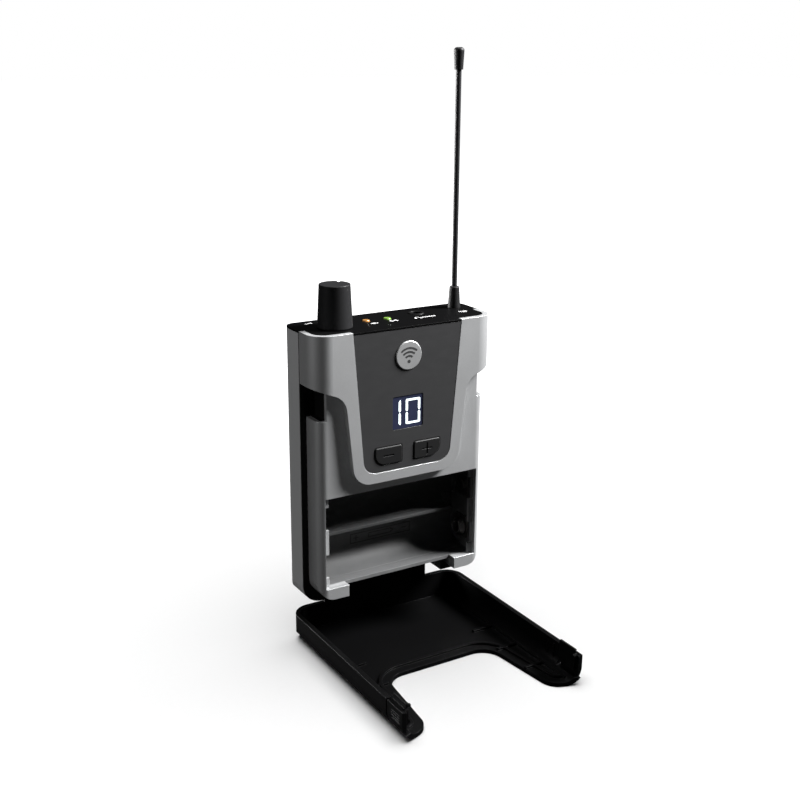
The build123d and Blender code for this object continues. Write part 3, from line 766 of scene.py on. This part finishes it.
class BODYPACK_OT_badge(bpy.types.Operator):
    """Round badge with plain radio waves"""

    bl_idname = "bodypack.badge"
    bl_label = "Badge"

    SOURCE_DROP, DOT_RADIUS, WAVE_WIDTH = 1.9, 0.55, 0.62
    WAVE_RADII = (1.75, 3.0, 4.25)

    def execute(self, context):
        colours = context.scene.bodypack_colours
        finish_nodes(painted("badge_paint", (0.56, 0.565, 0.57)), "emblem")
        low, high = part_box("emblem")
        x, z = (low.x + high.x) / 2 / MM, (low.z + high.z) / 2 / MM
        dark = ink("badge_ink", tuple(colours.panel))
        source = (x, z - self.SOURCE_DROP)
        shapes = [arc(source, self.DOT_RADIUS, 0, 345, 22)]
        shapes += [ribbon(arc(source, radius, 48, 132), self.WAVE_WIDTH) for radius in self.WAVE_RADII]
        mesh = slab_mesh("badge_waves", shapes, on_front(low.y + 0.01 * MM), 0.04)
        shown("badge_waves", mesh, dark, HOUSING, 0.0, False)
        return {"FINISHED"}


class BODYPACK_OT_lamps(bpy.types.Operator):
    """Amber and green lamps"""

    bl_idname = "bodypack.lamps"
    bl_label = "Lamps"

    def execute(self, context):
        colours = context.scene.bodypack_colours
        finish_nodes(lens("amber_lens", tuple(colours.amber), 0.06), "amber_led")
        finish_nodes(lens("green_lens", tuple(colours.green), 0.06), "green_led")
        return {"FINISHED"}


class BODYPACK_OT_marks(bpy.types.Operator):
    """Plain pictograms printed on the top plate"""

    bl_idname = "bodypack.marks"
    bl_label = "Top marks"

    def execute(self, context):
        line = context.scene.bodypack_sizes.mark_line / MM
        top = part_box("top_plate")[1].z
        white = ink("white_print", (0.8, 0.8, 0.8))
        rows = {
            "mark_volume": self.volume(-25.5, 18.2),
            "mark_battery": self.battery(-7.3, 8.6, line),
            "mark_signal": self.signal(-0.2, 8.7, line),
            "mark_phones": self.phones(10.9, 8.4, line),
            "mark_antenna": self.antenna(26.0, 8.9, line),
        }
        for name, shapes in rows.items():
            mesh = slab_mesh(name, shapes, on_top(top - 0.003 * MM), 0.02)
            shown(name, mesh, white, HOUSING, 0.0, False)
        return {"FINISHED"}

    def volume(self, x, y):
        """A row of bars that grow to the right."""
        pitch, growth, left, right = 0.62, 0.25, 1.5, 1.15
        return [[(x + i * pitch - left, y - 0.5), (x + i * pitch - right, y - 0.5),
                 (x + i * pitch - right, y - 0.3 + i * growth), (x + i * pitch - left, y - 0.3 + i * growth)]
                for i in range(5)]

    def battery(self, x, y, line):
        """A small cell."""
        frame_points = [(x - 1.1, y - 0.5), (x + 0.9, y - 0.5), (x + 0.9, y + 0.5), (x - 1.1, y + 0.5)]
        cap = [(x + 1.0, y - 0.22), (x + 1.3, y - 0.22), (x + 1.3, y + 0.22), (x + 1.0, y + 0.22)]
        charge = [(x - 0.8, y - 0.2), (x + 0.1, y - 0.2), (x + 0.1, y + 0.2), (x - 0.8, y + 0.2)]
        return stroke(frame_points, line * 0.7, True) + [cap, charge]

    def signal(self, x, y, line):
        """Waves that leave a point on both sides."""
        shapes = [arc((x, y), 0.26, 0, 330, 12)]
        for side in (0, 180):
            shapes += [ribbon(arc((x, y), radius, side - 50, side + 50, 8), line * 0.8)
                       for radius in (0.7, 1.2)]
        return shapes

    def phones(self, x, y, line):
        """A headband with two ear cups, and a row of dashes beside it."""
        shapes = [ribbon(arc((x - 2.6, y - 0.2), 0.95, 0, 180, 12), line)]
        for side in (-1, 1):
            cx = x - 2.6 + side * 0.95
            shapes.append([(cx - 0.25, y - 0.9), (cx + 0.25, y - 0.9),
                           (cx + 0.25, y - 0.1), (cx - 0.25, y - 0.1)])
        for i in range(6):
            start = x - 0.9 + i * 0.85
            shapes.append([(start, y - 0.45), (start + 0.6, y - 0.45),
                           (start + 0.6, y + 0.35), (start, y + 0.35)])
        return shapes

    def antenna(self, x, y, line):
        """A mast with waves."""
        shapes = stroke([(x, y - 0.7), (x, y + 0.6)], line)
        shapes += stroke([(x - 0.5, y - 0.7), (x + 0.5, y - 0.7)], line)
        for side in (0, 180):
            shapes += [ribbon(arc((x, y + 0.3), radius, side - 45, side + 45, 8), line * 0.8)
                       for radius in (0.75, 1.3)]
        return shapes


class BODYPACK_OT_polarity(bpy.types.Operator):
    """Polarity marks moulded into the two troughs of the battery bay"""

    bl_idname = "bodypack.polarity"
    bl_label = "Polarity marks"

    # millimetres; heights are measured up the curve of a trough from its middle line
    SPRING_REACH, TROUGH_RADIUS, LINE = 4.2, 7.65, 0.3
    HALF_HEIGHT, HALF_WIDTH, SIGN_X = 1.7, 11.5, 9.4
    MIDDLES = {"upper": 3.0, "lower": 0.5}

    def execute(self, context):
        colours = context.scene.bodypack_colours
        low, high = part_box("contact_springs")
        axis_y = (low.y + high.y) / 2 / MM
        reach, radius, line = self.SPRING_REACH, self.TROUGH_RADIUS, self.LINE
        centres = {"upper": high.z / MM - reach, "lower": low.z / MM + reach}
        # the moulded marks are drawn as dark lines: painted shade of their relief
        dark = ink("moulded_mark_painted_shade", shade(tuple(colours.silver), 0.03))
        for name, z in centres.items():

            def place(u, v, t, z=z):
                angle = v / radius
                deep = radius - t
                across, up = deep * math.cos(angle), deep * math.sin(angle)
                return Vector((u * MM, (axis_y + across) * MM, (z + up) * MM))

            flip = 1 if name == "upper" else -1
            middle, tall, wide, sign = self.MIDDLES[name], self.HALF_HEIGHT, self.HALF_WIDTH, self.SIGN_X
            shapes = self.fine(stroke([(-wide, middle - tall), (wide, middle - tall),
                                       (wide, middle + tall), (-wide, middle + tall)], line, True))
            minus, plus = -flip * sign, flip * sign
            shapes += self.fine(stroke([(minus - 0.8, middle), (minus + 0.8, middle)], line * 1.2))
            shapes += self.fine(stroke([(plus - 0.8, middle), (plus + 0.8, middle)], line * 1.2))
            shapes += self.fine(stroke([(plus, middle - 0.8), (plus, middle + 0.8)], line * 1.2))
            shapes += self.fine(stroke([(-4.5, middle - 0.75), (4.0, middle - 0.75), (4.0, middle - 0.35),
                                        (4.7, middle - 0.35), (4.7, middle + 0.35), (4.0, middle + 0.35),
                                        (4.0, middle + 0.75), (-4.5, middle + 0.75)], line, True))
            mesh = slab_mesh("polarity_" + name, shapes, place, 0.05)
            shown("polarity_" + name, mesh, dark, HOUSING, 0.0, False)
        return {"FINISHED"}

    def fine(self, shapes):
        """The same four-sided strips cut into short lengths up the curve, so that they lie on it."""
        cut = []
        for shape in shapes:
            low = min(v for _, v in shape)
            high = max(v for _, v in shape)
            parts = max(1, round((high - low) / 0.3))
            left, right = min(u for u, _ in shape), max(u for u, _ in shape)
            for i in range(parts):
                v0 = low + (high - low) * i / parts
                v1 = low + (high - low) * (i + 1) / parts
                cut.append([(left, v0), (right, v0), (right, v1), (left, v1)])
        return cut


class BODYPACK_OT_boards(bpy.types.Operator):
    """Finishes of the circuit boards"""

    bl_idname = "bodypack.boards"
    bl_label = "Circuit boards"

    def execute(self, context):
        finish_nodes(board("solder_mask", (0.01, 0.1, 0.04)), "keypad_board", "top_board", "main_board")
        return {"FINISHED"}


OPERATORS = (
    BODYPACK_OT_stage,
    BODYPACK_OT_mouldings,
    BODYPACK_OT_rubber,
    BODYPACK_OT_metals,
    BODYPACK_OT_springs,
    BODYPACK_OT_display,
    BODYPACK_OT_badge,
    BODYPACK_OT_lamps,
    BODYPACK_OT_marks,
    BODYPACK_OT_polarity,
    BODYPACK_OT_boards,
)


class BODYPACK_PT_sidebar(bpy.types.Panel):
    """Lists the settings and the making steps in the sidebar"""

    bl_idname = "BODYPACK_PT_sidebar"
    bl_label = "Bodypack"
    bl_space_type = "VIEW_3D"
    bl_region_type = "UI"
    bl_category = "Bodypack"

    def draw(self, context):
        layout = self.layout
        for group in (context.scene.bodypack_sizes, context.scene.bodypack_colours):
            box = layout.box()
            for name in group.bl_rna.properties.keys():
                if name not in {"rna_type", "name"}:
                    box.prop(group, name)
        for operator in OPERATORS:
            layout.operator(operator.bl_idname)


CLASSES = (BodypackColours, BodypackSizes, *OPERATORS, BODYPACK_PT_sidebar)


def register():
    for cls in CLASSES:
        bpy.utils.register_class(cls)
    bpy.types.Scene.bodypack_colours = bpy.props.PointerProperty(type=BodypackColours)
    bpy.types.Scene.bodypack_sizes = bpy.props.PointerProperty(type=BodypackSizes)


def unregister():
    del bpy.types.Scene.bodypack_sizes
    del bpy.types.Scene.bodypack_colours
    for cls in reversed(CLASSES):
        bpy.utils.unregister_class(cls)


def main():
    """Makes everything in order."""
    register()
    for operator in OPERATORS:
        group, name = operator.bl_idname.split(".")
        getattr(getattr(bpy.ops, group), name)()


if __name__ == "__main__":
    main()
